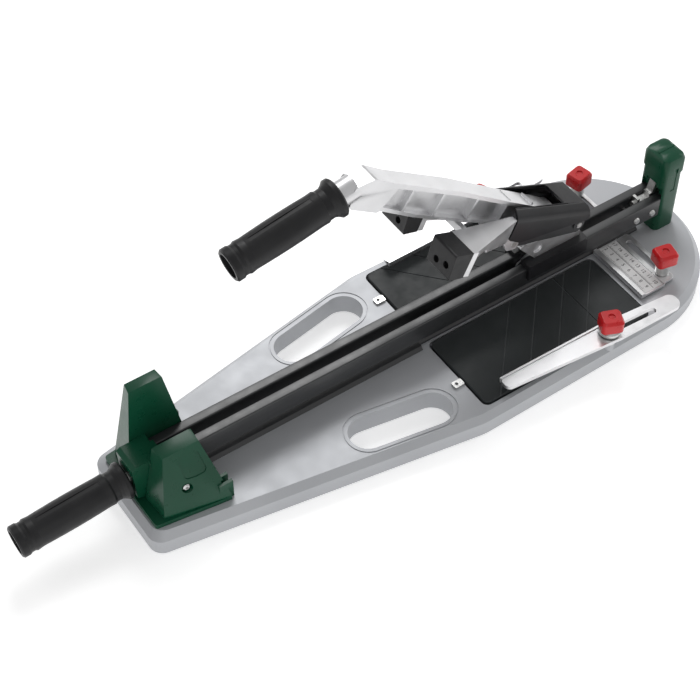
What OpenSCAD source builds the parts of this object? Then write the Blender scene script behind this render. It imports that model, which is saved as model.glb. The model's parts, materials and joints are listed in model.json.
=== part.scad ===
// Manual tile cutter: a cast base with two guide rails, a sliding carriage
// that carries a hinged cutting head, breaker and lever, sprung tile tables,
// swing-out support arms and slide-out rulers.
// X runs along the rails from the front grip to the rear tower, Z is up.
// Lengths are written at the drawing's scale, and real_scale turns them into
// millimetres, so every node is made at its real size.

/* [Size] */
// Real millimetres for each unit of length in this drawing
real_scale = 1.14; // [1:0.01:1.3]

/* [Base] */
// Length of the base casting along the rails
base_length = 648; // [560:2:760]
// Half width of the base at its front edge
base_front_half = 56; // [52:1:66]
// Half width of the base at its widest place
base_half = 111; // [108:1:130]
// Distance from the front edge to the shoulders
shoulder_x = 322; // [300:1:324]
// Height of the top panel above the ground
base_height = 26; // [22:1:34]
// Wall of the casting
base_wall = 3.5; // [2.5:0.5:5]
// Bevel between the side wall and the top panel
base_bevel = 6; // [3:0.5:8]
// Ground clearance of the wall, which the feet make up
foot_gap = 2.5; // [1.5:0.5:4]

/* [Hand holes] */
// Overall length of a hand hole
hand_length = 104; // [90:1:115]
// Width of a hand hole
hand_width = 38; // [30:1:42]
// Distance of a hand hole from the middle line
hand_y = 68; // [64:1:74]

/* [Rails] */
// Width of one rail
rail_width = 9.8; // [8:0.2:12]
// Height of one rail
rail_height = 23; // [18:0.5:28]
// Gap between the two rails
rail_gap = 9.4; // [9:0.2:12]
// Wall of the rail tube
rail_wall = 2; // [1.5:0.25:3]
// Height of the rail's underside above the top panel
rail_clear = 21; // [18:0.5:28]

/* [Tables] */
// Start of the tile tables behind the front edge
table_x = 330; // [326:1:340]
// Length of a tile table
table_length = 200; // [170:1:202]
// Width of a tile table
table_width = 91; // [80:1:92]
// Thickness of the rubber mat
mat_thick = 3; // [2:0.5:4]
// How far a table sinks on its springs
table_sink = 2.5; // [1:0.5:3]

/* [Head] */
// Half width of the carriage cover
cover_half = 24.6; // [24:0.2:28]
// Wall of the carriage cover
cover_wall = 2.4; // [1.6:0.2:3]
// Width of one breaker pad
pad_width = 33; // [28:1:36]
// Height of one breaker pad
pad_height = 27; // [22:1:30]
// Radius of the cutting wheel
wheel_radius = 9; // [8:0.5:10]

/* [Lever and grips] */
// Length of a rubber grip
grip_length = 110; // [95:1:125]
// Radius of a rubber grip
grip_radius = 15.5; // [13:0.5:18]
// Radius of the flange at the inner end of a grip
flange_radius = 18; // [17:0.5:21]

/* [Arms and rulers] */
// Length of a swing arm in front of its stud
arm_reach = 122; // [90:1:130]
// Width of a swing arm at its widest
arm_width = 24; // [20:1:26]
// Length of a ruler, which is how far it covers the table
ruler_length = 74; // [60:1:80]
// Width of a knob across its flats
knob_width = 22; // [18:1:26]

/* [Hidden] */
$fn = 48;
eps = 0.01;
fit = 0.05;
gap = 0.3;

// Base
rear_radius = base_half - 3;
rear_center = base_length - rear_radius;
panel = 4;
shoulder_round = 60;
front_round = 14;
hand_x = shoulder_x - 67;
side_angle = atan((base_half - base_front_half) / shoulder_x);

// Rails
rail_bottom = base_height + rail_clear;
rail_top = rail_bottom + rail_height;
rail_y = (rail_gap + rail_width) / 2;
rail_outer = rail_gap / 2 + rail_width;
rail_start = 36;
tower_x = base_length - 42;
tower_depth = 28;
tower_half = 17;
tower_top = rail_top + 51;
rail_end = tower_x + 14;
leg_inner = rail_outer + gap;
leg_far = base_front_half - 3;

// Tables
table_inner = 8;
table_plate_thick = 3;
mat_top = base_height + 2;
plate_top = mat_top - mat_thick;
plate_bottom = plate_top - table_plate_thick;
pocket_floor = plate_bottom - table_sink - 1;
bar_half = 4.5;
bar_top = mat_top + 1.5;

// Grip and its tilt
grip_tilt = 4.4;
grip_z = rail_bottom + 4;
grip_x = 6;
grip_floor = grip_length - 15;
bolt_r = 5;
front_x = grip_x - grip_length * cos(grip_tilt) - grip_radius * sin(grip_tilt);
mid_x = (front_x + base_length) / 2;

// Carriage and head, seen in the head's own tilted frame
pivot_x = 498;
pivot_z = rail_top + 30;
head_tilt = 24.2;
lever_s = -33;
lever_n = 5;
break_s = -86;
break_n = -12;
cover_front = -101;
cover_rear = 1;
cover_top = 27;
cheek_in = 12;
cheek_out = 16;
wheel_s = -28.7;
wheel_n = -60.6;
axle_r = 2.5;
fork_front = -20;
fork_rear = -9;
fork_half = 3.9;
flange_half = 11;
bar_low = 8;
bar_high = 16;
lug_r = 8;
pin_r = 3;
wing_front = -176;
wing_rear = -103;
pad_inner = 18;
pad_thick = 21;

// Lever
lever_angle = 9.2;
lever_len = 268;
grip_turn = 44;

// Arms and rulers
arm_x = 474;
arm_y = 102;
arm_z = base_height + 10;
arm_boss_r = 7;
arm_seat = mat_top + 0.4;
arm_thick = 4;
arm_tail = 82;
arm_tip_half = 7;
arm_angle = 3;
stud_r = 3;
slot_r = stud_r + 0.5;
arm_slide = 52;
ruler_x = 535;
ruler_width = 30;
ruler_flange = 15;
ruler_in = 6;
ruler_z = mat_top + 0.4;
ruler_thick = 3;
ruler_stud_x = ruler_x + ruler_width + ruler_flange / 2;
ruler_stud_y = ruler_length - 8;
ruler_slide = ruler_length - 26;
knob_height = 14;
knob_z = base_height + 22;

// Points of a closed outline with each corner rounded by its own radius
function corner(p, v, q, r, n) =
    let (
        a = (p - v) / norm(p - v),
        b = (q - v) / norm(q - v),
        half = acos(max(-1, min(1, a * b))) / 2,
        c = v + (a + b) / norm(a + b) * r / sin(half),
        s = v + a * r / tan(half) - c,
        e = v + b * r / tan(half) - c,
        t0 = atan2(s[1], s[0]),
        d = atan2(e[1], e[0]) - t0,
        turn = d > 180 ? d - 360 : d < -180 ? d + 360 : d
    )
    r < eps ? [v] : [for (i = [0:n]) c + r * [cos(t0 + turn * i / n), sin(t0 + turn * i / n)]];

function rounded(pts, radii, n = 6) =
    let (m = len(pts))
    [for (i = [0:m - 1])
        each corner(pts[(i + m - 1) % m], pts[i], pts[(i + 1) % m], radii[i], n)];

function box_points(x0, y0, x1, y1) = [[x0, y0], [x1, y0], [x1, y1], [x0, y1]];

function same(value, count) = [for (i = [1:count]) value];

// Outline of the base, drawn in by a given amount
function half_outline(inset) =
    rounded(
        [[inset, 0], [inset, -(base_front_half - inset)],
         [shoulder_x, -(base_half - inset)], [rear_center, -(rear_radius - inset)], [rear_center, 0]],
        [0, front_round, shoulder_round, 0, 0], 8);

function base_outline(inset) =
    let (
        side = [for (p = half_outline(inset)) if (p[1] < -eps && p[0] < rear_center - eps) p],
        rear = [for (i = [0:36])
            [rear_center, 0] + (rear_radius - inset) * [cos(-90 + 5 * i), sin(-90 + 5 * i)]]
    )
    concat(side, rear, [for (i = [len(side) - 1:-1:0]) [side[i][0], -side[i][1]]]);

module place() {
    scale(real_scale) translate([-mid_x, 0, 0]) children();
}

module slab(pts, z0, z1) {
    translate([0, 0, z0]) linear_extrude(z1 - z0) polygon(pts);
}

// A plate that stands across Y, drawn from its X and Z points
module upright(pts, y0, y1) {
    translate([0, y1, 0]) rotate([90, 0, 0]) linear_extrude(y1 - y0) polygon(pts);
}

module both_sides() {
    children();
    mirror([0, 1, 0]) children();
}

module slot_shape(length, width, z0, z1) {
    reach = (length - width) / 2;
    translate([-reach, -width / 2, z0]) cube([2 * reach, width, z1 - z0]);
    for (side = [-1, 1]) {
        translate([side * reach, 0, z0]) cylinder(h = z1 - z0, r = width / 2);
    }
}

module cross_pin(x, z, r, half) {
    translate([x, half, z]) rotate([90, 0, 0]) cylinder(h = 2 * half, r = r);
}

// A round bar between two points
module rod(p, q, r) {
    d = q - p;
    translate(p) rotate([0, acos(d[2] / norm(d)), atan2(d[1], d[0])]) cylinder(h = norm(d), r = r);
}

module hand_place(side) {
    translate([hand_x, side * hand_y, 0]) rotate([0, 0, side * side_angle]) children();
}

// Places of the feet under the base
foot_places = [
    [46, 44], [46, -44],
    [shoulder_x, base_half - 22], [shoulder_x, -(base_half - 22)],
    [base_length - 52, 62], [base_length - 52, -62]
];
foot_radius = 10;
foot_height = 6;
bracket_screws = [[26, 36], [26, -36], [66, 40], [66, -40]];
side_screw = [44, -40, 56];
tower_screw_x = [tower_x + 8, tower_x + 21];
side_recess_r = 5;
screw_r = 2;

module feet_bosses() {
    for (p = foot_places) {
        translate([p[0], p[1], foot_height]) cylinder(h = base_height - foot_height - 1, r = foot_radius + 2);
    }
}

module base_shell() {
    difference() {
        hull() {
            slab(base_outline(0), foot_gap, base_height - base_bevel - 1);
            slab(base_outline(1), base_height - base_bevel, base_height - base_bevel + eps);
            slab(base_outline(base_bevel), base_height - 1, base_height);
        }
        slab(base_outline(base_wall), 0, base_height - base_bevel - 1);
        slab(base_outline(base_wall + base_bevel), base_height - base_bevel - 2, base_height - panel);
    }
}

module base_ribs() {
    intersection() {
        slab(base_outline(1.2), foot_gap, base_height - base_bevel);
        union() {
            both_sides() {
                slab(box_points(table_x - 6, table_inner - 4,
                                table_x + table_length + 6, table_inner + table_width + 5),
                     pocket_floor - panel, base_height - base_bevel);
            }
            for (x = [120, 200, table_x - 6, 430, table_x + table_length + 3, tower_x - 8]) {
                translate([x, -base_half, foot_gap + 2]) cube([3, 2 * base_half, base_height]);
            }
        }
    }
}

module table_pocket() {
    slab(rounded(box_points(table_x - 1, table_inner - 1.5,
                            table_x + table_length + 1, table_inner + table_width + 1),
                 same(7, 4)), pocket_floor, base_height + 1);
}

module hand_hole_rim() {
    difference() {
        slot_shape(hand_length + 10, hand_width + 10, base_height - 0.8, base_height + 1);
        slot_shape(hand_length + 7, hand_width + 7, base_height - 1, base_height + 2);
    }
}

module base_casting() {
    color("silver")
    place()
    difference() {
        union() {
            difference() {
                union() {
                    base_shell();
                    base_ribs();
                    feet_bosses();
                    for (side = [-1, 1]) {
                        hand_place(side)
                            slot_shape(hand_length + 7, hand_width + 7, foot_gap + 1, base_height - 1);
                    }
                }
                both_sides() table_pocket();
            }
            both_sides() {
                translate([arm_x, arm_y, pocket_floor - panel])
                    cylinder(h = arm_seat - pocket_floor + panel, r = arm_boss_r);
            }
        }
        for (side = [-1, 1]) {
            hand_place(side) {
                slot_shape(hand_length, hand_width, -1, base_height + 1);
                hand_hole_rim();
            }
        }
        for (p = bracket_screws) {
            translate([p[0], p[1], 8]) cylinder(h = base_height, r = screw_r + fit);
        }
        for (p = foot_places) {
            translate([p[0], p[1], 5]) cylinder(h = 13, r = screw_r + fit);
            translate([p[0], p[1], 0]) cylinder(h = foot_height, r = foot_radius + gap);
        }
        for (x = concat(tower_screw_x, bar_screw_x)) {
            translate([x, 0, 0]) cylinder(h = base_height + 1, r = screw_r + 0.5);
        }
        both_sides() {
            translate([arm_x, arm_y, 0]) cylinder(h = arm_seat + 1, r = stud_r + fit);
            translate([ruler_stud_x, ruler_stud_y, 0]) cylinder(h = base_height + 1, r = stud_r + fit);
        }
    }
}

bar_screw_x = [100, 215, 310, 400, 500, 575];
module rubber_feet() {
    color("black")
    place()
    for (p = foot_places) {
        translate([p[0], p[1], 0])
        rotate_extrude()
            polygon([[screw_r + 0.2, 1.5], [4.2, 1.5], [4.2, 0], [foot_radius - 1, 0],
                     [foot_radius, 1], [foot_radius - 0.5, foot_height], [screw_r + 0.2, foot_height]]);
    }
}

module screw(length, head_r = 3.6, head_h = 2.4) {
    rotate_extrude()
        polygon([[0, -length], [screw_r, -length], [screw_r, 0], [head_r, 0],
                 [head_r, head_h * 0.6], [head_r * 0.7, head_h], [head_r * 0.35, head_h],
                 [head_r * 0.35, head_h * 0.4], [0, head_h * 0.4]]);
}

module feet_screws() {
    color("silver")
    place()
    for (p = foot_places) {
        translate([p[0], p[1], 1.5]) mirror([0, 0, 1]) screw(14, 3.4, 1.1);
    }
}

// Raised bar that the scored tile breaks over
bar_start = 82;
bar_end = tower_x - 12;
bar_foot = base_height;
bar_front_half = 11;
bar_front_end = table_x - 8;
module breaking_bar() {
    color("dimgray")
    place()
    difference() {
        union() {
            translate([bar_start, 0, 0])
            rotate([90, 0, 90])
            linear_extrude(bar_end - bar_start)
                polygon(rounded([[-bar_half, bar_foot], [bar_half, bar_foot], [bar_half, bar_top - 1.5],
                                 [1.6, bar_top + 1], [-1.6, bar_top + 1], [-bar_half, bar_top - 1.5]],
                                [0, 0, 1.2, 1, 1, 1.2]));
            translate([bar_start, 0, 0])
            rotate([90, 0, 90])
            linear_extrude(bar_front_end - bar_start)
                polygon(rounded([[-bar_front_half, bar_foot], [bar_front_half, bar_foot],
                                 [bar_front_half - 3, bar_top], [3 - bar_front_half, bar_top]],
                                [0, 0, 1, 1]));
        }
        for (x = bar_screw_x) {
            translate([x, 0, base_height - 1]) cylinder(h = 3.5, r = screw_r + fit);
        }
    }
}

module breaking_bar_screws() {
    color("silver")
    place()
    for (x = bar_screw_x) {
        translate([x, 0, base_height - panel]) mirror([0, 0, 1]) screw(6.3, 3.6, 2.2);
    }
}

module table_shape(z0, z1, inset) {
    slab(rounded(box_points(table_x + inset, table_inner + inset,
                            table_x + table_length - inset, table_inner + table_width - inset),
                 same(7 - inset, 4)), z0, z1);
}

module arm_boss_notch() {
    translate([arm_x, arm_y, 0]) cylinder(h = base_height + 10, r = arm_boss_r + 1.5);
}

module table_plate(side) {
    color("dimgray")
    place()
    mirror([0, side < 0 ? 1 : 0, 0])
    difference() {
        table_shape(plate_bottom, plate_top, 0.6);
        arm_boss_notch();
    }
}

module table_mat(side) {
    color("darkslategray")
    place()
    mirror([0, side < 0 ? 1 : 0, 0])
    difference() {
        hull() {
            table_shape(plate_top, mat_top - 1, 0.6);
            table_shape(plate_top, mat_top, 1.6);
        }
        arm_boss_notch();
        translate([table_x + 150, table_inner, mat_top - 0.7]) cube([1.4, table_width, 2]);
        for (i = [0:3]) {
            translate([table_x + 14 + 34 * i, table_inner + table_width + 2, mat_top - 0.7])
                rotate([0, 0, -48]) cube([130, 1.4, 2]);
        }
    }
}

module coil(r, wire, turns, height, sides = 8, steps = 10) {
    count = turns * steps;
    ring = [for (i = [0:count]) for (j = [0:sides - 1])
        let (t = 360 * i / steps, q = 360 * j / sides, d = r + wire * cos(q))
        [d * cos(t), d * sin(t), height * i / count + wire * sin(q)]];
    walls = [for (i = [0:count - 1]) for (j = [0:sides - 1])
        [i * sides + j, i * sides + (j + 1) % sides,
         (i + 1) * sides + (j + 1) % sides, (i + 1) * sides + j]];
    ends = [[for (j = [sides - 1:-1:0]) j], [for (j = [0:sides - 1]) count * sides + j]];
    polyhedron(ring, concat(walls, ends), convexity = 10);
}

spring_places = [[30, 20], [30, table_width - 20], [table_length - 30, 20], [table_length - 30, table_width - 20]];
module table_springs(side) {
    color("lightgray")
    place()
    mirror([0, side < 0 ? 1 : 0, 0])
    for (p = spring_places) {
        translate([table_x + p[0], table_inner + p[1], pocket_floor + 0.5])
            coil(4, 0.45, 3, plate_bottom - pocket_floor - 1, 6);
    }
}

module table_clips() {
    color("silver")
    place()
    both_sides() {
        translate([table_x - 12, table_inner + 52, base_height]) {
            difference() {
                slab(rounded(box_points(0, 0, 11, 8), same(1.5, 4)), 0, 2.6);
                translate([4, 4, -1]) cylinder(h = 5, r = 1.6);
            }
        }
    }
}

// Front bracket: two legs, the block between them and the tall lever post
bracket_top = rail_top + 8;
near_top = rail_top + 25;
post_top = rail_top + 71;
module leg(side, top, top_out, x0, x1) {
    hull() {
        slab([[16, side * leg_inner], [80, side * leg_inner], [80, side * (leg_far + 3)], [18, side * (leg_far - 9)]],
             base_height, base_height + 8);
        slab([[x0, side * leg_inner], [x1, side * leg_inner], [x1 - 1, side * top_out], [x0 + 2, side * top_out]],
             top - 5, top - 1);
        slab([[x0 + 3, side * leg_inner], [x1 - 3, side * leg_inner],
              [x1 - 4, side * (top_out - 3)], [x0 + 5, side * (top_out - 3)]], top - 1, top);
    }
}

module near_leg() {
    leg(-1, near_top, leg_inner + 15, 28, 67);
}

// Shallow panel with round corners, sunk into the near leg's outer face
leg_panel_depth = 0.8;
module leg_panel() {
    difference() {
        upright(rounded([[44, side_screw[2] + 9], [66, side_screw[2] + 9], [62, near_top - 7],
                         [42, near_top - 7]],
                        same(4, 4)), -base_front_half, -(leg_inner + 5));
        translate([0, leg_panel_depth, 0]) near_leg();
    }
}

module front_bracket() {
    color("darkgreen")
    place()
    difference() {
        union() {
            near_leg();
            leg(1, post_top, leg_inner + 11, 27, 60);
            slab(rounded([[8, -46], [80, -56], [80, 56], [8, 46]], same(3, 4)), base_height, base_height + 5);
            upright(rounded([[9, rail_bottom - 12], [7, bracket_top - 3], [11, bracket_top],
                             [rail_start + 3, bracket_top], [rail_start + 3, base_height + 4],
                             [26, base_height + 4]],
                            [2, 1, 1, 0, 0, 3]), -14, 14);
            upright([[24, base_height], [rail_start + 3, base_height],
                     [rail_start + 3, bracket_top], [24, bracket_top]], -leg_inner - 2, leg_inner + 2);
            for (side = [-1, 1]) {
                translate([70, side * 47 - 6, base_height]) cube([14, 12, 22]);
            }
            slab([[rail_start, -rail_outer - 2], [78, -rail_outer - 2], [78, rail_outer + 2],
                  [rail_start, rail_outer + 2]], base_height + 4, rail_bottom);
        }
        for (side = [-1, 1]) {
            translate([rail_start, side * rail_y - rail_width / 2 - fit, rail_bottom])
                cube([90, rail_width + 2 * fit, 80]);
            translate([74, side * 47 - 3, base_height + 6]) cube([12, 6, 18]);
        }
        leg_panel();
        for (p = bracket_screws) {
            translate([p[0], p[1], base_height - 1]) cylinder(h = 12, r = screw_r + fit);
        }
        grip_frame() translate([0, 0, -12]) cylinder(h = 60, r = bolt_r + fit);
        translate(side_screw) rotate([90, 0, 0]) cylinder(h = 30, r = side_recess_r);
        translate(side_screw) rotate([-90, 0, 0]) cylinder(h = 24, r = screw_r + fit);
    }
}

module front_bracket_screws() {
    color("silver")
    place() {
        for (p = bracket_screws) {
            translate([p[0], p[1], base_height - panel]) mirror([0, 0, 1]) screw(14, 3.6, 2.2);
        }
        translate(side_screw) rotate([90, 0, 0]) screw(22);
    }
}

// Frame whose Z axis runs out of the grip's inner end towards the front bracket
module grip_frame() {
    translate([grip_x, 0, grip_z]) rotate([0, 90 - grip_tilt, 0]) children();
}

module grip_body() {
    difference() {
        rotate_extrude()
            polygon(concat(
                [[bolt_r + fit, 0], [flange_radius - 1.5, 0], [flange_radius, -1.5], [flange_radius, -5],
                 [flange_radius - 2.5, -8], [grip_radius - 1.5, -11], [grip_radius - 1.5, -16],
                 [grip_radius - 0.4, -18]],
                [for (i = [0:6]) [grip_radius - 0.6 + 0.6 * sin(30 * i), -24 - (grip_length - 44) * i / 6]],
                [[grip_radius, -(grip_length - 14)], [grip_radius - 1, -(grip_length - 12)],
                 [grip_radius - 1, -(grip_length - 9)], [grip_radius, -(grip_length - 7)],
                 [grip_radius, -(grip_length - 1.5)], [grip_radius - 1.5, -grip_length],
                 [grip_radius - 4, -grip_length], [grip_radius - 4.5, -grip_floor],
                 [bolt_r + fit, -grip_floor]]));
        for (side = [-1, 1]) {
            translate([side * grip_radius - 1, -2.2, -(grip_length - 24)]) cube([2, 4.4, grip_length - 48]);
        }
    }
}

// Half section of the bolt that runs through a grip and into what it screws into
function grip_bolt_points(top) =
    [[0, top], [bolt_r, top], [bolt_r, -grip_floor], [8, -grip_floor], [8, -(grip_floor + 3)],
     [7, -(grip_floor + 5)], [3, -(grip_floor + 5)], [3, -(grip_floor + 2)], [0, -(grip_floor + 2)]];

module front_grip() {
    color("black")
    place() grip_frame() grip_body();
}

module front_grip_bolt() {
    color("silver")
    place()
    grip_frame()
    rotate_extrude()
        polygon(grip_bolt_points(12));
}

module rail(side) {
    color("dimgray")
    place()
    difference() {
        translate([rail_start, side * rail_y, rail_bottom])
        rotate([90, 0, 90])
        linear_extrude(rail_end - rail_start)
        difference() {
            polygon(rounded(box_points(-rail_width / 2, 0, rail_width / 2, rail_height), same(1.4, 4), 4));
            polygon(box_points(-rail_width / 2 + rail_wall, rail_wall,
                               rail_width / 2 - rail_wall, rail_height - rail_wall));
        }
        for (x = rail_pin_x) {
            cross_pin(x, rail_pin_z, screw_r + fit, 30);
        }
    }
}
rail_pin_x = [50, tower_x - 26, tower_x - 6];
rail_pin_z = rail_top - 14;

module rail_pins() {
    color("lightgray")
    place()
    for (x = rail_pin_x) {
        cross_pin(x, rail_pin_z, screw_r, rail_outer + (x < 100 ? -0.5 : 0.2));
        if (x > 100) {
            for (side = [-1, 1]) {
                translate([x, side * rail_outer, rail_pin_z]) rotate([side * -90, 0, 0])
                    cylinder(h = 2, r1 = 3.6, r2 = 2.8);
            }
        }
        difference() {
            cross_pin(x, rail_pin_z, 3.4, rail_gap / 2 - 0.05);
            cross_pin(x, rail_pin_z, screw_r + fit, 9);
        }
    }
}

module tower_shape(z0, z1, inset) {
    slab(rounded(box_points(tower_x + inset, -tower_half + inset,
                            tower_x + tower_depth - inset, tower_half - inset), same(6, 4)), z0, z1);
}

module rear_tower() {
    color("darkgreen")
    place()
    difference() {
        union() {
            tower_shape(base_height, tower_top - 22, 1);
            hull() {
                tower_shape(tower_top - 22, tower_top - 6, 0);
                tower_shape(tower_top - 6, tower_top - 2, 1.5);
                tower_shape(tower_top - 1, tower_top, 5);
            }
            translate([tower_x + 4, -1, tower_top - 1]) cube([tower_depth - 8, 2, 1.6]);
        }
        for (side = [-1, 1]) {
            translate([tower_x - 1, side * rail_y - rail_width / 2 - fit, rail_bottom])
                cube([rail_end - tower_x + 1, rail_width + 2 * fit, rail_height]);
        }
        translate([tower_x - 1, -7, rail_bottom]) cube([14, 14, tower_top - 34 - rail_bottom]);
        translate([tower_x - 1, -rail_outer - fit, rail_top - 1]) cube([8, 2 * rail_outer + 2 * fit, 14]);
        translate([tower_x + 13, -tower_half - 1, rail_top + 6]) cube([5, 2.5, 30]);
        for (x = tower_screw_x) {
            translate([x, 0, base_height - 1]) cylinder(h = 12, r = screw_r + fit);
        }
        translate([tower_x + 20, 0, rail_top - 6]) rotate([0, -90, 0]) cylinder(h = 16, r = screw_r + fit);
    }
}

module rear_tower_screws() {
    color("silver")
    place()
    for (x = tower_screw_x) {
        translate([x, 0, base_height - panel]) mirror([0, 0, 1]) screw(14, 3.6, 2.2);
    }
}

// Bracket between the rails that the tower's screw pulls on
clamp_x = tower_x - 18;
module rail_clamp() {
    color("lightgray")
    place()
    difference() {
        union() {
            upright([[clamp_x, rail_top - 12], [clamp_x + 22, rail_top - 12], [clamp_x + 25, rail_top + 14],
                     [clamp_x + 21, rail_top + 14], [clamp_x + 18, rail_top + 2], [clamp_x, rail_top + 2]],
                    -4.2, 4.2);
        }
        translate([clamp_x - 1, 0, rail_top - 6]) rotate([0, 90, 0]) cylinder(h = 40, r = screw_r + fit);
        translate([clamp_x + 3, -5, rail_top - 3.2]) cube([12, 10, 7]);
        cross_pin(tower_x - 6, rail_pin_z, 3.4 + gap, 10);
    }
}

module clamp_screw() {
    color("lightgray")
    place()
    translate([clamp_x - 3, 0, rail_top - 6])
    rotate([0, 90, 0])
    rotate_extrude()
        polygon([[0, 0], [3.6, 0], [3.6, 3], [screw_r, 3], [screw_r, 36], [0, 36]]);
}

// Carriage
shoe_z = rail_top + gap;
block_x0 = 432;
block_half = 10.5;
wheel_slot = 4.9;
wheel_slot_end = 492;
module carriage_block() {
    color("silver")
    place()
    difference() {
        union() {
            upright(rounded([[452, shoe_z + 5], [block_x0, rail_top + 29], [block_x0 + 5, rail_top + 32],
                             [478, rail_top + 22], [492, rail_top + 26], [506, rail_top + 26],
                             [508, shoe_z + 5]],
                            [0, 2, 2, 2, 0, 3, 0]), -block_half, block_half);
            cross_pin(pivot_x, pivot_z, lug_r, block_half);
        }
        translate([block_x0 - 4, -wheel_slot, shoe_z - 1]) cube([wheel_slot_end - block_x0 + 4, 2 * wheel_slot, 60]);
        translate([484, -7, rail_top + 18]) cube([40, 14, 40]);
        cross_pin(pivot_x, pivot_z, pin_r + fit, 30);
        for (side = [-1, 1]) {
            translate([455, side * (block_half + 1), rail_top + 17]) rotate([side * 90, 0, 0])
                cylinder(h = 3, r = 5);
        }
    }
}

module carriage_shoe() {
    color("black")
    place()
    difference() {
        union() {
            slab(rounded(box_points(440, -rail_outer - 4, 512, rail_outer + 4), same(3, 4)), shoe_z, shoe_z + 5);
            for (side = [-1, 1]) {
                translate([440, side * (rail_outer + 2.2) - 1.8, rail_top - 12]) cube([72, 3.6, 14]);
            }
            translate([494, -rail_gap / 2 + gap, rail_top - 14]) cube([18, rail_gap - 2 * gap, 16]);
        }
        slab(box_points(block_x0 - 4, -wheel_slot, wheel_slot_end, wheel_slot), rail_top - 1, shoe_z + 8);
    }
}

module head_pin() {
    color("lightgray")
    place()
    cross_pin(pivot_x, pivot_z, pin_r, 18.5);
}

module return_spring() {
    color("lightgray")
    place()
    translate([pivot_x, -5.5, pivot_z]) rotate([-90, 0, 0]) coil(4.6, 0.8, 5, 11, 6);
}

// Everything on the head is drawn in a frame at its pin, tilted by head_tilt
module head_place() {
    place() translate([pivot_x, 0, pivot_z]) rotate([0, head_tilt, 0]) children();
}

module head_frame() {
    color("dimgray")
    head_place()
    difference() {
        union() {
            both_sides() {
                upright(rounded([[9, -9], [break_s - 2, break_n - 8], [break_s - 9, break_n + 3],
                                 [-72, 14], [-40, 18], [-10, 16], [9, 3]],
                                [8, 6, 5, 4, 4, 4, 6]), cheek_in, cheek_out);
                translate([0, cheek_out - 0.5, 0]) rotate([-90, 0, 0]) cylinder(h = 2, r = 6);
            }
            translate([fork_front - 1, -cheek_out, bar_low])
                cube([fork_rear - fork_front + 1, 2 * cheek_out, bar_high - bar_low]);
        }
        fork_screw_places() translate([0, 0, bar_low - 1]) cylinder(h = bar_high, r = screw_r + fit);
        cross_pin(0, 0, pin_r + fit, 30);
        cross_pin(lever_s, lever_n, pin_r + fit, 30);
        cross_pin(break_s, break_n, pin_r + fit, 30);
    }
}

module cover_profile(inset) {
    polygon(rounded([[cover_rear - inset, 12 + inset], [cover_rear - 4 - inset, cover_top - 3 - inset],
                     [cover_rear - 8 - inset, cover_top - inset], [cover_front - eps, cover_top - inset],
                     [cover_front - eps, -3], [-84, -7]],
                    [1, 2, 3, 0, 3, 2]));
}

// The cover rests on the frame's cross bar and cheeks through three bosses
module head_cover() {
    color("black")
    head_place() {
        cover_shell();
        translate([(fork_front + fork_rear) / 2, 0, bar_high])
            cylinder(h = cover_top - cover_wall - bar_high + 0.5, r = 3.4);
        for (side = [-1, 1]) {
            translate([-50, side * cheek_out, 12]) rotate([side * -90, 0, 0])
                cylinder(h = cover_half - cover_wall - cheek_out + 0.5, r = 4);
        }
    }
}

module cover_shell() {
    difference() {
        intersection() {
            translate([0, 40, 0]) rotate([90, 0, 0]) linear_extrude(80) cover_profile(0);
            translate([-130, 0, 0]) rotate([90, 0, 90]) linear_extrude(150)
                polygon(rounded([[-cover_half, -20], [cover_half, -20], [cover_half, cover_top - 7],
                                 [cover_half - 8, cover_top], [-cover_half + 8, cover_top],
                                 [-cover_half, cover_top - 7]], [0, 0, 9, 3, 3, 9]));
        }
        intersection() {
            translate([-0.01 - cover_wall, 40, -20]) rotate([90, 0, 0]) linear_extrude(80)
                polygon([[cover_rear, 0], [cover_rear, 43], [cover_rear - 5, cover_top + 20 - cover_wall],
                         [-120, cover_top + 20 - cover_wall], [-120, 0]]);
            translate([-130, 0, 0]) rotate([90, 0, 90]) linear_extrude(150)
                polygon(rounded([[-cover_half + cover_wall, -30], [cover_half - cover_wall, -30],
                                 [cover_half - cover_wall, cover_top - 8],
                                 [cover_half - 9, cover_top - cover_wall],
                                 [-cover_half + 9, cover_top - cover_wall],
                                 [-cover_half + cover_wall, cover_top - 8]], [0, 0, 6, 2, 2, 6]));
        }
        slab(rounded(box_points(cover_front - 20, -14.8, lever_s, 14.8), [0, 3, 3, 0]), 10, cover_top + 5);
        translate([lever_s - 46, -16.5, cover_top - 1]) cube([49, 1, 2]);
    }
}

module fork_screw_places() {
    for (side = [-1, 1]) {
        translate([(fork_front + fork_rear) / 2, side * 7.5, 0]) children();
    }
}

// Plate that hangs from the frame's cross bar, with a slot for the wheel at its foot
module wheel_fork() {
    color("lightgray")
    head_place()
    difference() {
        union() {
            translate([fork_front, -flange_half, bar_low - 4])
                cube([fork_rear - fork_front, 2 * flange_half, 4]);
            upright([[fork_front, bar_low - 1], [fork_rear, bar_low - 1], [fork_rear, wheel_n + 28],
                     [wheel_s + 6, wheel_n], [wheel_s - 6, wheel_n], [fork_front, wheel_n + 26]],
                    -fork_half, fork_half);
            cross_pin(wheel_s, wheel_n, 6, fork_half);
        }
        cross_pin(wheel_s, wheel_n, wheel_radius + 1.5, 1.6);
        cross_pin(wheel_s, wheel_n, axle_r + fit, 10);
        fork_screw_places() translate([0, 0, bar_low - 5]) cylinder(h = 6, r = screw_r + fit);
    }
}

module fork_screws() {
    color("silver")
    head_place() fork_screw_places() translate([0, 0, bar_high]) screw(bar_high - bar_low + 4);
}

module wheel_axle() {
    color("silver")
    head_place() cross_pin(wheel_s, wheel_n, axle_r, fork_half);
}

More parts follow.
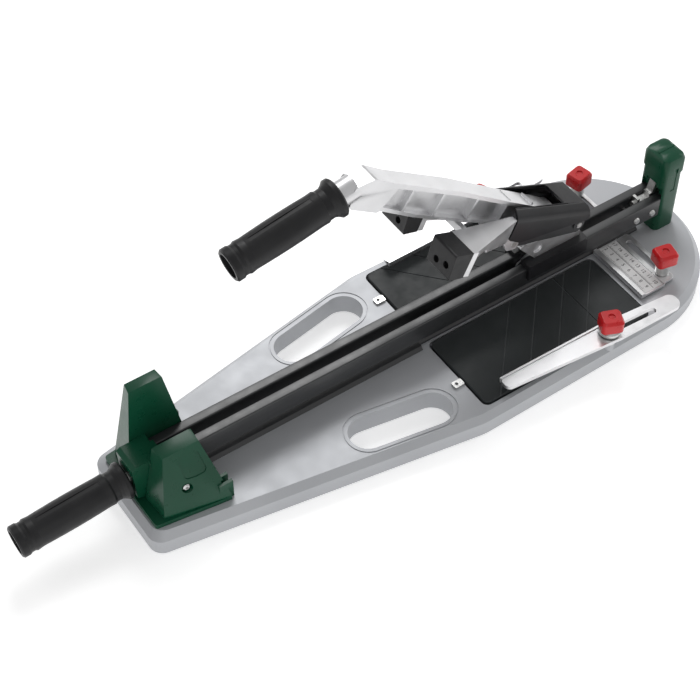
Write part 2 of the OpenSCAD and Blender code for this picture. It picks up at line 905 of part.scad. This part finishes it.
module cutting_wheel() {
    color("gold")
    head_place()
    translate([wheel_s, 0, wheel_n])
    rotate([90, 0, 0])
    rotate_extrude()
        polygon([[axle_r + fit, -1.3], [5, -1.3], [5.5, -1.1], [wheel_radius - 2.4, -1.1], [wheel_radius, 0],
                 [wheel_radius - 2.4, 1.1], [5.5, 1.1], [5, 1.3], [axle_r + fit, 1.3]]);
}

// Breaker
module wing() {
    hull() {
        translate([wing_rear - 4, pad_inner, -6]) cube([4, 6.4, cover_top - 1]);
        translate([wing_front, pad_inner, 5]) cube([5, pad_width - 1, 6]);
        translate([wing_front, pad_inner, -4]) cube([5, 10, 6]);
    }
}

module breaker_casting() {
    color("silver")
    head_place()
    difference() {
        union() {
            both_sides() {
                wing();
                translate([wing_front, pad_inner, -pad_height + 12]) cube([6, pad_width, pad_height - 1]);
                for (k = [0:2]) {
                    rod([wing_rear - 3, 24, cover_top - 10 - 8 * k], [wing_front + 14, 45 - 3 * k, 8 - 3.5 * k], 1.4);
                }
                upright(rounded([[wing_rear - 2, -6], [wing_rear - 2, 6], [break_s - 4, break_n + 7],
                                 [break_s + 6, break_n + 2], [break_s + 6, break_n - 5],
                                 [break_s - 6, break_n - 7]],
                                [0, 0, 3, 4, 4, 3]), cheek_out + 0.6, cheek_out + 4.6);
            }
            translate([-153, -pad_inner - 1, -1]) cube([7, 2 * pad_inner + 2, 6]);
        }
        cross_pin(break_s, break_n, pin_r + fit, 30);
        both_sides() {
            translate([wing_front + 26, 0, 2]) rotate([-90, 0, 8]) translate([0, 0, 20])
                slot_shape(16, 7, 0, 40);
        }
        for (p = pad_screw_places) {
            translate([wing_front - 20, p[0], p[1]]) rotate([0, 90, 0]) cylinder(h = 40, r = screw_r + fit);
        }
    }
}

pad_screw_places = [for (side = [-1, 1]) for (p = [[pad_inner + 11, -9], [pad_inner + 24, -6]]) [side * p[0], p[1]]];

module breaker_pads() {
    color("black")
    head_place()
    difference() {
        both_sides() {
            upright(rounded([[wing_front, 12 - pad_height - 1], [wing_front, 11],
                             [wing_front - pad_thick, 10], [wing_front - pad_thick + 4, 12 - pad_height - 3]],
                            [0, 0, 2, 2]), pad_inner, pad_inner + pad_width);
        }
        for (p = pad_screw_places) {
            translate([wing_front - 40, p[0], p[1]]) rotate([0, 90, 0]) cylinder(h = 60, r = screw_r + fit);
            translate([wing_front - 40, p[0], p[1]]) rotate([0, 90, 0]) cylinder(h = 32, r = 3.4);
        }
    }
}

module pad_screws() {
    color("silver")
    head_place()
    for (p = pad_screw_places) {
        translate([wing_front - 8, p[0], p[1]]) rotate([0, 90, 0]) {
            translate([0, 0, -2]) cylinder(h = 2, r = 3.2);
            cylinder(h = 17, r = screw_r);
            translate([0, 0, 14]) cylinder(h = 2.6, r = 3.4, $fn = 6);
        }
    }
}

module breaker_pin() {
    color("lightgray")
    head_place()
    cross_pin(break_s, break_n, pin_r, cheek_out + 5);
}

// Lever, drawn from its pin along its own arm
module lever_place() {
    head_place() translate([lever_s, 0, lever_n]) rotate([0, lever_angle, 0]) children();
}
lever_upper = [[-lever_len + 14, 22], [-150, 20], [-70, 14], [-20, 11]];
lever_lower = [[-20, -9], [-70, -11], [-118, -13], [-190, -12], [-lever_len + 30, -8], [-lever_len + 6, 2]];

module lever_arm() {
    color("silver")
    lever_place()
    difference() {
        union() {
            upright(concat([[0, 10]], [for (i = [3:-1:0]) lever_upper[i]],
                           [for (i = [5:-1:0]) lever_lower[i]], [[0, -9]]), -2.5, 2.5);
            upright(rounded(concat([[-4, 9.5]], [for (i = [3:-1:0]) lever_upper[i]],
                           [[-lever_len + 10, 17], [-150, 15.5], [-70, 10], [-20, 7], [-4, 6]]),
                           same(0, 10)), -10.5, 10.5);
            upright(concat([[-10, -9]], lever_lower, [[-lever_len + 10, 6], [-lever_len + 30, -4],
                           [-190, -8.5], [-118, -9.5], [-70, -7.5], [-10, -6]]), -8, 8);
            for (x = [-lever_len + 62, -165, -118, -72, -40]) {
                upright([[x - 1.5, -9], [x + 1.5, -9], [x + 1.5, 13], [x - 1.5, 15]], -8, 8);
            }
            cross_pin(0, 0, 10, 11.6);
            upright(rounded([[-lever_len + 40, 21], [-lever_len + 6, 24], [-lever_len - 12, 13],
                             [-lever_len - 6, -8], [-lever_len + 30, -9]], [6, 8, 6, 5, 4]), -10.5, 10.5);
            lever_grip_frame() cylinder(h = 16, r = 11.5);
        }
        cross_pin(0, 0, pin_r + fit, 30);
        lever_grip_frame() translate([0, 0, -2]) cylinder(h = 26, r = bolt_r + fit);
    }
}

module lever_pin() {
    color("lightgray")
    head_place()
    cross_pin(lever_s, lever_n, pin_r, cheek_out + 2);
}

module lever_grip_frame() {
    translate([-lever_len - 15, 0, -2]) rotate([0, 90 - grip_turn, 0]) children();
}

module lever_grip() {
    color("black")
    lever_place() lever_grip_frame() grip_body();
}

module lever_grip_screw() {
    color("silver")
    lever_place()
    lever_grip_frame()
    rotate_extrude()
        polygon(grip_bolt_points(22));
}

// Swing arms
module arm_place(side) {
    place() mirror([0, side < 0 ? 1 : 0, 0]) translate([arm_x, arm_y, 0]) rotate([0, 0, arm_angle]) children();
}

module swing_arm(side) {
    color("silver")
    arm_place(side)
    difference() {
        union() {
            slab(rounded([[-arm_reach, -arm_tip_half], [6, -arm_width / 2], [arm_tail, -arm_width / 2 + 3],
                          [arm_tail, arm_width / 2 - 3], [6, arm_width / 2], [-arm_reach, arm_tip_half]],
                         [6.5, 20, 8, 8, 20, 6.5]), arm_z, arm_z + arm_thick);
            slab(rounded([[-arm_reach, -arm_tip_half], [6, -arm_width / 2], [6, -arm_width / 2 + 2],
                          [-arm_reach, -arm_tip_half + 2]], same(0.8, 4)), arm_z, arm_z + arm_thick + 1.2);
        }
        translate([arm_slide / 2, 0, 0])
            slot_shape(arm_slide + 2 * slot_r, 2 * slot_r, arm_z - 1, arm_z + arm_thick + 2);
    }
}

module arm_stud(side) {
    color("lightgray")
    arm_place(side)
    rotate_extrude()
        polygon([[0, base_height - 8], [stud_r, base_height - 8], [stud_r, arm_seat],
                 [7.5, arm_seat], [7.5, arm_z - gap], [stud_r, arm_z - gap],
                 [stud_r, arm_z + arm_thick + gap + 1], [10.5, arm_z + arm_thick + gap + 1],
                 [11, arm_z + arm_thick + 3], [11, knob_z - 2.5], [9, knob_z - 1],
                 [stud_r, knob_z - 1], [stud_r, knob_z + 7], [0, knob_z + 7]]);
}

module knob_shape() {
    difference() {
        hull() {
            slab(rounded(box_points(-knob_width / 2, -knob_width / 2 + 1, knob_width / 2, knob_width / 2 - 1),
                         same(4, 4)), 0, knob_height - 3);
            slab(rounded(box_points(-knob_width / 2 + 2, -knob_width / 2 + 3, knob_width / 2 - 2,
                                    knob_width / 2 - 3), same(3, 4)), knob_height - 1, knob_height);
        }
        translate([0, 0, -1]) cylinder(h = 8.5, r = stud_r + fit);
        translate([0, 0, knob_height - 1.5]) cylinder(h = 4, r = 3.5);
    }
}

module arm_knob(side) {
    color("red")
    arm_place(side)
    translate([0, 0, knob_z]) rotate([0, 0, 20]) knob_shape();
}

// Rulers
module ruler(side) {
    color("silver")
    place()
    mirror([0, side < 0 ? 1 : 0, 0])
    difference() {
        union() {
            translate([0, ruler_in, 0]) mirror([0, 1, 0]) rotate([90, 0, 0]) linear_extrude(ruler_length)
                polygon([[ruler_x, ruler_z], [ruler_x + ruler_width, ruler_z],
                         [ruler_x + ruler_width, ruler_z + ruler_thick + 1],
                         [ruler_x + ruler_width - 1.5, ruler_z + ruler_thick + 1],
                         [ruler_x + ruler_width - 1.5, ruler_z + ruler_thick],
                         [ruler_x + 5, ruler_z + ruler_thick], [ruler_x + 4, ruler_z + ruler_thick + 2],
                         [ruler_x, ruler_z + ruler_thick + 2]]);
            slab(rounded(box_points(ruler_x + ruler_width - 1, ruler_in, ruler_x + ruler_width + ruler_flange,
                                    ruler_in + ruler_length - 2), [0, 5, 5, 0]), ruler_z, ruler_z + ruler_thick);
        }
        translate([ruler_stud_x, ruler_stud_y - ruler_slide / 2, 0]) rotate([0, 0, 90])
            slot_shape(ruler_slide + 2 * slot_r, 2 * slot_r, ruler_z - 1, ruler_z + ruler_thick + 1);
    }
}

module ruler_scale(side) {
    color("white")
    place()
    mirror([0, side < 0 ? 1 : 0, 0])
    translate([ruler_x + 6, ruler_in + 1.5, ruler_z + ruler_thick])
        cube([ruler_width - 8.5, ruler_length - 3, 0.5]);
}

module ruler_stud(side) {
    color("lightgray")
    place()
    mirror([0, side < 0 ? 1 : 0, 0])
    translate([ruler_stud_x, ruler_stud_y, 0])
    rotate_extrude()
        polygon([[0, base_height - 8], [stud_r, base_height - 8], [stud_r, base_height], [6, base_height],
                 [6, ruler_z - gap], [stud_r, ruler_z - gap], [stud_r, ruler_z + ruler_thick + gap],
                 [6.5, ruler_z + ruler_thick + gap], [7, ruler_z + ruler_thick + 1.5],
                 [7, knob_z - 2.5], [6, knob_z - 1], [stud_r, knob_z - 1], [stud_r, knob_z + 7],
                 [0, knob_z + 7]]);
}

module ruler_knob(side) {
    color("red")
    place()
    mirror([0, side < 0 ? 1 : 0, 0])
    translate([ruler_stud_x, ruler_stud_y, knob_z]) rotate([0, 0, 12]) knob_shape();
}

base_casting();
rubber_feet();
feet_screws();
breaking_bar();
breaking_bar_screws();
table_plate(1);  // table_plate_left
table_plate(-1);  // table_plate_right
table_mat(1);  // table_mat_left
table_mat(-1);  // table_mat_right
table_springs(1);  // table_springs_left
table_springs(-1);  // table_springs_right
table_clips();
front_bracket();
front_bracket_screws();
front_grip();
front_grip_bolt();
rail(1);  // rail_left
rail(-1);  // rail_right
rail_pins();
rear_tower();
rear_tower_screws();
rail_clamp();
clamp_screw();
carriage_block();
carriage_shoe();
head_pin();
return_spring();
head_frame();
head_cover();
wheel_fork();
fork_screws();
wheel_axle();
cutting_wheel();
breaker_casting();
breaker_pin();
breaker_pads();
pad_screws();
lever_arm();
lever_pin();
lever_grip();
lever_grip_screw();
swing_arm(1);  // arm_left
swing_arm(-1);  // arm_right
arm_stud(1);  // arm_stud_left
arm_stud(-1);  // arm_stud_right
arm_knob(1);  // arm_knob_left
arm_knob(-1);  // arm_knob_right
ruler(1);  // ruler_left
ruler(-1);  // ruler_right
ruler_scale(1);  // ruler_scale_left
ruler_scale(-1);  // ruler_scale_right
ruler_stud(1);  // ruler_stud_left
ruler_stud(-1);  // ruler_stud_right
ruler_knob(1);  // ruler_knob_left
ruler_knob(-1);  // ruler_knob_right
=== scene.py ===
"""The looks of a manual tile cutter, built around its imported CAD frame."""

import json
import math

import bmesh
import bpy
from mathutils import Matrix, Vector


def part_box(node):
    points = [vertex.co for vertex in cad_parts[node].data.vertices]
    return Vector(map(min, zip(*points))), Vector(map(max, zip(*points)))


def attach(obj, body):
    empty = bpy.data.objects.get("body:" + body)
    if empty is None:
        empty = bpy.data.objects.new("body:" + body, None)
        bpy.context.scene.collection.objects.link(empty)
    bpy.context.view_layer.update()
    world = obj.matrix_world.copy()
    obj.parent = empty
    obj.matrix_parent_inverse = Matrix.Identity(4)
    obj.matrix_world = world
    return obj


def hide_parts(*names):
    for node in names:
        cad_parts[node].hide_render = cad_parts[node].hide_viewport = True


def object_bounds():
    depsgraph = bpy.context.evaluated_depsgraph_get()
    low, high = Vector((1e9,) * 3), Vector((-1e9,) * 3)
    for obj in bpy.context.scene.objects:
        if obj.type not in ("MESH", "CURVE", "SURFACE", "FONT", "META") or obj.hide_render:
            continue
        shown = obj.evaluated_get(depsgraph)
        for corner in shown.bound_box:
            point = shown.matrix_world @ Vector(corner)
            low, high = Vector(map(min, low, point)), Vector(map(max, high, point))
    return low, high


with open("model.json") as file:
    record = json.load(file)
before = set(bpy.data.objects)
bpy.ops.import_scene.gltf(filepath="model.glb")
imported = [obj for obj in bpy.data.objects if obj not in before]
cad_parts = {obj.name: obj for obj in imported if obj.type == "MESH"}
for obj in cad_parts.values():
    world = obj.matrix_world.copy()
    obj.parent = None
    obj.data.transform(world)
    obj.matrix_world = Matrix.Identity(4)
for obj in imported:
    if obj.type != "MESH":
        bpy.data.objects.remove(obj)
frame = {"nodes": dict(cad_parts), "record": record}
CAD_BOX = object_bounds()
MM = 0.001

# Camera, in the frame's metres and degrees
CAMERA_AT = Vector((-0.6909, -0.9647, 1.4546))
CAMERA_AZIMUTH = -34.4
CAMERA_ELEVATION = 49.7
CAMERA_LENS = 88.41
SENSOR = 36.0
FLOOR_GLOW = 0.45

BODY_OF = {
    node: body
    for body, nodes in frame["record"]["behaviour"]["bodies"].items()
    for node in nodes
}
SLOT_OF = {part["node"]: part["material_slot"] for part in frame["record"]["subparts"]}


# ---------------------------------------------------------------- materials

# The part of a noise's range that most of it falls in
NOISE_LOW = 0.3
NOISE_HIGH = 0.7

COAT_ROUGHNESS = 0.25
RELIEF_STRENGTH = 0.25
RELIEF_DETAIL = 2.0
SCUFF_DETAIL = 8.0
SCUFFS_PER_PATCH = 4


def node_material(name):
    """A new material with its nodes, its links and its Principled shader."""
    material = bpy.data.materials.new(name)
    material.use_nodes = True
    nodes, links = material.node_tree.nodes, material.node_tree.links
    return material, nodes, links, nodes["Principled BSDF"]


def noise(nodes, links, scale, stretch=(1, 1, 1), detail=4.0):
    """Noise in the part's own metres, stretched along its axes."""
    place = nodes.new("ShaderNodeTexCoord")
    mapping = nodes.new("ShaderNodeMapping")
    mapping.inputs["Scale"].default_value = stretch
    texture = nodes.new("ShaderNodeTexNoise")
    texture.inputs["Scale"].default_value = scale
    texture.inputs["Detail"].default_value = detail
    links.new(place.outputs["Object"], mapping.inputs["Vector"])
    links.new(mapping.outputs["Vector"], texture.inputs["Vector"])
    return texture.outputs["Fac"]


def spread(nodes, links, value, low, high):
    """Maps the middle of a noise onto the range low to high."""
    ranged = nodes.new("ShaderNodeMapRange")
    ranged.inputs["From Min"].default_value = NOISE_LOW
    ranged.inputs["From Max"].default_value = NOISE_HIGH
    ranged.inputs["To Min"].default_value = low
    ranged.inputs["To Max"].default_value = high
    links.new(value, ranged.inputs["Value"])
    return ranged.outputs["Result"]


def surface(name, dark, light, rough, metallic=0.0, gloss=0.5, coat=0.0, patch=25.0,
            grain=900.0, height=0.01, stretch=(1, 1, 1)):
    """A finish whose colour, gloss and relief all vary at their real scale."""
    material, nodes, links, shader = node_material(name)
    shader.inputs["Metallic"].default_value = metallic
    shader.inputs["Specular IOR Level"].default_value = gloss
    shader.inputs["Coat Weight"].default_value = coat
    shader.inputs["Coat Roughness"].default_value = COAT_ROUGHNESS

    tint = nodes.new("ShaderNodeMix")
    tint.data_type = "RGBA"
    tint.inputs["A"].default_value = (*dark, 1)
    tint.inputs["B"].default_value = (*light, 1)
    links.new(spread(nodes, links, noise(nodes, links, patch), 0, 1), tint.inputs["Factor"])
    links.new(tint.outputs["Result"], shader.inputs["Base Color"])

    scuffs = noise(nodes, links, patch * SCUFFS_PER_PATCH, stretch, SCUFF_DETAIL)
    links.new(spread(nodes, links, scuffs, *rough), shader.inputs["Roughness"])

    relief = nodes.new("ShaderNodeBump")
    relief.inputs["Strength"].default_value = RELIEF_STRENGTH
    relief.inputs["Distance"].default_value = height * MM
    links.new(noise(nodes, links, grain, stretch, RELIEF_DETAIL), relief.inputs["Height"])
    links.new(relief.outputs["Normal"], shader.inputs["Normal"])
    return material


FINISHES = {
    "cast_silver": surface("cast_silver", (0.42, 0.43, 0.45), (0.47, 0.48, 0.50), (0.42, 0.52),
                           metallic=0.35, patch=9, grain=1400, height=0.02),
    "bright_cast": surface("bright_cast", (0.66, 0.66, 0.67), (0.76, 0.76, 0.77), (0.30, 0.40),
                           metallic=0.9, patch=22, grain=1600, height=0.012),
    "zinc_steel": surface("zinc_steel", (0.56, 0.56, 0.55), (0.70, 0.70, 0.69), (0.26, 0.38),
                          metallic=1.0, patch=90, grain=1800, height=0.006, stretch=(1, 6, 6)),
    "black_steel": surface("black_steel", (0.012, 0.013, 0.014), (0.020, 0.021, 0.023),
                           (0.34, 0.44), gloss=0.8, patch=14, grain=1600, height=0.015),
    "green_paint": surface("green_paint", (0.003, 0.050, 0.024), (0.005, 0.066, 0.033),
                           (0.26, 0.34), gloss=0.25, coat=0.04, patch=18, grain=1400, height=0.015),
    "black_plastic": surface("black_plastic", (0.007, 0.007, 0.008), (0.012, 0.012, 0.014),
                             (0.30, 0.42), gloss=0.35, patch=30, grain=1800, height=0.02),
    "black_rubber": surface("black_rubber", (0.006, 0.006, 0.007), (0.012, 0.012, 0.013),
                            (0.36, 0.50), gloss=0.35, patch=40, grain=2200, height=0.04),
    "mat_rubber": surface("mat_rubber", (0.016, 0.019, 0.020), (0.026, 0.030, 0.031),
                          (0.46, 0.60), gloss=0.35, patch=20, grain=2600, height=0.05),
    "red_plastic": surface("red_plastic", (0.46, 0.006, 0.009), (0.58, 0.012, 0.015),
                           (0.26, 0.36), gloss=0.4, coat=0.1, patch=45, grain=1500, height=0.012),
    "white_scale": surface("white_scale", (0.60, 0.60, 0.60), (0.68, 0.68, 0.68),
                           (0.38, 0.48), gloss=0.4, patch=30, grain=1500, height=0.01),
    "carbide": surface("carbide", (0.40, 0.38, 0.34), (0.55, 0.53, 0.49), (0.18, 0.28),
                       metallic=1.0, patch=120, grain=3000, height=0.005),
}
INK = surface("ink", (0.006, 0.006, 0.007), (0.014, 0.014, 0.015), (0.45, 0.6))
# Painted highlight: a paler rubber for the floors of the mats' grooves, standing in for the light
# they catch
GROOVE_HIGHLIGHT = surface("painted_groove_highlight", (0.060, 0.066, 0.068), (0.095, 0.102, 0.104), (0.5, 0.65),
                 gloss=0.3, patch=60, grain=2600, height=0.05)


# ------------------------------------------------------------------- pieces

WELD = 0.01 * MM
# Faces closer than this are one flat face, edges flatter than the next are one curve,
# and edges steeper than the last are rounded
FLAT_ANGLE = math.radians(0.2)
CURVE_ANGLE = math.radians(28)
EDGE_ANGLE = math.radians(35)
EDGE_SEGMENTS = 3

# How far below a mat's top the floors of its grooves lie, and how level they are
GROOVE_FROM = 0.4 * MM
GROOVE_TO = 1.2 * MM
LEVEL = 0.9


def paint_groove_highlights(mesh):
    """Paints the floors of a mat's grooves a paler rubber, a painted highlight for the light the
    grooves catch.
    """
    mesh.materials.append(GROOVE_HIGHLIGHT)
    top = max(v.co.z for v in mesh.vertices)
    for face in mesh.polygons:
        if face.normal.z > LEVEL and top - GROOVE_TO < face.center.z < top - GROOVE_FROM:
            face.material_index = 1


def soften(node, width):
    """Stands for a CAD node with the same shape, its hard edges rounded as cast or moulded."""
    source = frame["nodes"][node]
    mesh = source.data.copy()
    work = bmesh.new()
    work.from_mesh(mesh)
    bmesh.ops.remove_doubles(work, verts=work.verts, dist=WELD)
    bmesh.ops.dissolve_limit(work, angle_limit=FLAT_ANGLE, verts=work.verts, edges=work.edges)
    for edge in work.edges:
        edge.smooth = edge.is_manifold and edge.calc_face_angle(math.pi) < CURVE_ANGLE
    work.to_mesh(mesh)
    work.free()
    mesh.materials.clear()
    mesh.materials.append(FINISHES[SLOT_OF[node]])
    # The floors of the mats' grooves get their painted highlight
    if node.startswith("table_mat"):
        paint_groove_highlights(mesh)
    for face in mesh.polygons:
        face.use_smooth = True
    piece = bpy.data.objects.new(node + "_finished", mesh)
    bpy.context.scene.collection.objects.link(piece)
    bevel = piece.modifiers.new("edges", "BEVEL")
    bevel.width = width * MM
    bevel.segments = EDGE_SEGMENTS
    bevel.limit_method = "ANGLE"
    bevel.angle_limit = EDGE_ANGLE
    bevel.harden_normals = True
    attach(piece, BODY_OF[node])
    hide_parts(node)


# How wide each visible node's edges are rounded, in millimetres
EDGE_MM = {
    "base_casting": 0.9, "front_bracket": 1.1, "rear_tower": 0.8, "lever_arm": 0.7,
    "breaker_casting": 0.6, "breaker_pads": 0.7, "head_cover": 0.6, "head_frame": 0.4,
    "carriage_block": 0.6, "carriage_shoe": 0.5, "rail_left": 0.4, "rail_right": 0.4,
    "breaking_bar": 0.4, "arm_left": 0.5, "arm_right": 0.5, "ruler_left": 0.3,
    "ruler_right": 0.3, "arm_knob_left": 0.8, "arm_knob_right": 0.8, "ruler_knob_left": 0.8,
    "ruler_knob_right": 0.8, "table_mat_left": 0.3, "table_mat_right": 0.3, "rail_clamp": 0.4,
    "wheel_fork": 0.4, "table_clips": 0.3,
}


def dress_frame():
    """Gives every CAD node its finish, and rounds the edges of the ones that are seen."""
    for node, piece in frame["nodes"].items():
        for holder in piece.material_slots:
            holder.material = FINISHES[SLOT_OF[node]]
    for node, width in EDGE_MM.items():
        soften(node, width)


def print_marks(name, work, body):
    """Thin printed marks that ride with the scale they are printed on."""
    mesh = bpy.data.meshes.new(name)
    work.to_mesh(mesh)
    work.free()
    mesh.materials.append(INK)
    piece = bpy.data.objects.new(name, mesh)
    bpy.context.scene.collection.objects.link(piece)
    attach(piece, body)


# The corners of a block's faces, by their order in add_block
BLOCK_FACES = (
    (0, 1, 3, 2), (4, 6, 7, 5), (0, 4, 5, 1), (2, 3, 7, 6), (0, 2, 6, 4), (1, 5, 7, 3),
)


def add_block(work, low, high):
    """A small box between two corners."""
    corners = [
        work.verts.new((x, y, z))
        for x in (low[0], high[0]) for y in (low[1], high[1]) for z in (low[2], high[2])
    ]
    for face in BLOCK_FACES:
        work.faces.new([corners[i] for i in face])


# What is printed on the rulers. The numbers are a plain choice, like their spacing.
CENTIMETRE = 0.01
TICKS_PER_NUMBER = 10
FIRST_NEAR = 2
FIRST_FAR = 17
INK_HEIGHT = 0.06 * MM
END_MARGIN = 4 * MM
LONG_TICK = 2.6 * MM
SHORT_TICK = 1.3 * MM
TICK_HALF = 0.13 * MM
TICKS_FROM_EDGE = 0.6 * MM
TICKS_FROM_MIDDLE = 0.5 * MM
LINE_HALF = 0.25 * MM
LINE_MARGIN = MM
FIGURE_SIZE = 6.2 * MM
FIGURES_FROM_EDGE = 7.2 * MM
FIGURES_FROM_MIDDLE = 7.4 * MM
FIGURE_TURN = math.radians(-90)


def print_ruler(side_name, side):
    """Ticks and two rows of plain numbers on one ruler's scale."""
    low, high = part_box("ruler_scale_" + side_name)
    body = BODY_OF["ruler_scale_" + side_name]
    inner, outer = (low[1], high[1]) if side > 0 else (high[1], low[1])
    count = int(abs(outer - inner) / CENTIMETRE)
    middle = (low[0] + high[0]) / 2
    bottom, top = high[2], high[2] + INK_HEIGHT

    work = bmesh.new()
    for step in range((count - 1) * TICKS_PER_NUMBER + 1):
        y = inner + side * (END_MARGIN + step * CENTIMETRE / TICKS_PER_NUMBER)
        reach = LONG_TICK if step % TICKS_PER_NUMBER == 0 else SHORT_TICK
        for x in (low[0] + TICKS_FROM_EDGE, middle + TICKS_FROM_MIDDLE):
            add_block(work, (x, y - TICK_HALF, bottom), (x + reach, y + TICK_HALF, top))
    ends = sorted((inner + side * LINE_MARGIN, outer - side * LINE_MARGIN))
    add_block(work, (middle - LINE_HALF, ends[0], bottom), (middle + LINE_HALF, ends[1], top))
    print_marks("ruler_ticks_" + side_name, work, body)

    rows = (
        (low[0] + FIGURES_FROM_EDGE, FIRST_NEAR, 1),
        (middle + FIGURES_FROM_MIDDLE, FIRST_FAR, -1),
    )
    for row, (x, first, step_up) in enumerate(rows):
        for i in range(count):
            curve = bpy.data.curves.new(f"figure_{side_name}_{row}_{i}", "FONT")
            curve.body = str(first + step_up * i)
            curve.size = FIGURE_SIZE
            curve.align_x = curve.align_y = "CENTER"
            curve.extrude = INK_HEIGHT / 2
            curve.materials.append(INK)
            figure = bpy.data.objects.new(curve.name, curve)
            y = inner + side * (END_MARGIN + i * CENTIMETRE)
            figure.location = (x, y, bottom + INK_HEIGHT / 2)
            figure.rotation_euler = (0, 0, FIGURE_TURN)
            bpy.context.scene.collection.objects.link(figure)
            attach(figure, body)


# ------------------------------------------------------------------- studio

FLOOR_REACH = 6.0
WORLD_LIGHT = 0.5
KEY_HEIGHT = 0.08


def make_floor():
    """One wide pale sheet under the feet."""
    mesh = bpy.data.meshes.new("floor")
    corners = [
        (x * FLOOR_REACH, y * FLOOR_REACH, 0) for x, y in ((-1, -1), (1, -1), (1, 1), (-1, 1))
    ]
    mesh.from_pydata(corners, [], [(0, 1, 2, 3)])
    pale = surface("floor", (0.90, 0.90, 0.90), (0.92, 0.92, 0.92), (0.7, 0.8), gloss=0.1)
    shader = pale.node_tree.nodes["Principled BSDF"]
    shader.inputs["Emission Color"].default_value = (1, 1, 1, 1)
    shader.inputs["Emission Strength"].default_value = FLOOR_GLOW
    mesh.materials.append(pale)
    floor = bpy.data.objects.new("floor", mesh)
    bpy.context.scene.collection.objects.link(floor)


def add_light(name, target, way, distance, size, watts):
    """A soft square light that looks at a point from a direction."""
    lamp = bpy.data.lights.new(name, "AREA")
    lamp.size = size
    lamp.energy = watts
    light = bpy.data.objects.new(name, lamp)
    way = Vector(way).normalized()
    light.location = Vector(target) + way * distance
    light.rotation_euler = (-way).to_track_quat("-Z", "Y").to_euler()
    bpy.context.scene.collection.objects.link(light)


def make_studio():
    """Soft even surroundings, with a key behind the part that lights its top faces."""
    world = bpy.data.worlds.new("studio")
    world.use_nodes = True
    world.node_tree.nodes["Background"].inputs["Color"].default_value = (1, 1, 1, 1)
    world.node_tree.nodes["Background"].inputs["Strength"].default_value = WORLD_LIGHT
    bpy.context.scene.world = world
    bpy.context.scene.view_settings.view_transform = "Standard"
    front = ((CAD_BOX[0][0] * 2 + CAD_BOX[1][0]) / 3, 0, KEY_HEIGHT)
    add_light("key", front, way=(0.36, 0.53, 0.76), distance=2.2, size=0.9, watts=17)
    add_light("fill", (0, 0, 0), way=(-0.5, -0.9, 0.5), distance=2.0, size=1.4, watts=4)
    add_light("rim", (0.2, 0, 0), way=(0.9, -0.1, 0.5), distance=1.8, size=0.8, watts=5)


def make_camera():
    """The camera, at the photograph's viewing angle."""
    a, e = math.radians(CAMERA_AZIMUTH), math.radians(CAMERA_ELEVATION)
    back = Vector((math.sin(a) * math.cos(e), -math.cos(a) * math.cos(e), math.sin(e)))
    data = bpy.data.cameras.new("camera")
    data.lens = CAMERA_LENS
    data.sensor_width = SENSOR
    camera = bpy.data.objects.new("camera", data)
    camera.location = CAMERA_AT
    camera.rotation_euler = (-back).to_track_quat("-Z", "Y").to_euler()
    bpy.context.scene.collection.objects.link(camera)
    bpy.context.scene.camera = camera


dress_frame()
for ruler_name, ruler_side in (("left", 1), ("right", -1)):
    print_ruler(ruler_name, ruler_side)
make_floor()
make_studio()
make_camera()
